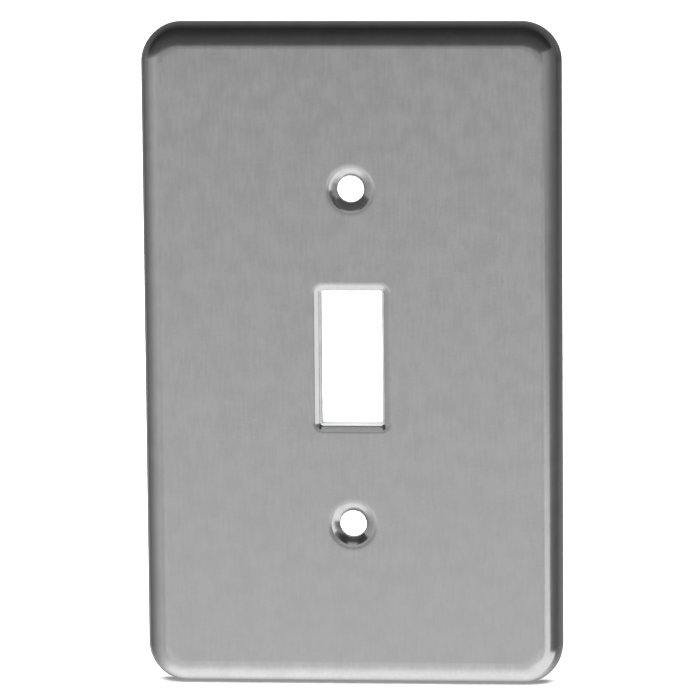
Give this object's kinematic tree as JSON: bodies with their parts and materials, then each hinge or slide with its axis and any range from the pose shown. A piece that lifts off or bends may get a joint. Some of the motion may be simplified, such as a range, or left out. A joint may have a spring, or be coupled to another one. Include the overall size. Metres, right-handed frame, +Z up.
{
  "type": "toggle switch cover plate",
  "caption": "Rectangular pressed steel wall plate for a toggle switch, with rolled edges, a drawn toggle opening and dimpled screw holes.",
  "frame": {"origin": "midway between the screw holes, on the plane of the skirt's trimmed edge, which lies on the wall", "axes": "+Z up along the plate's long side, +Y into the wall, so the face looks along -Y; +X across the plate"},
  "size_m": [0.0746, 0.0063, 0.119],
  "materials": {
    "plated_steel": "satin plated sheet steel, smooth over the rolled edges"
  },
  "bodies": {
    "root": {"cover_plate": "plated_steel"}
  },
  "joints": []
}
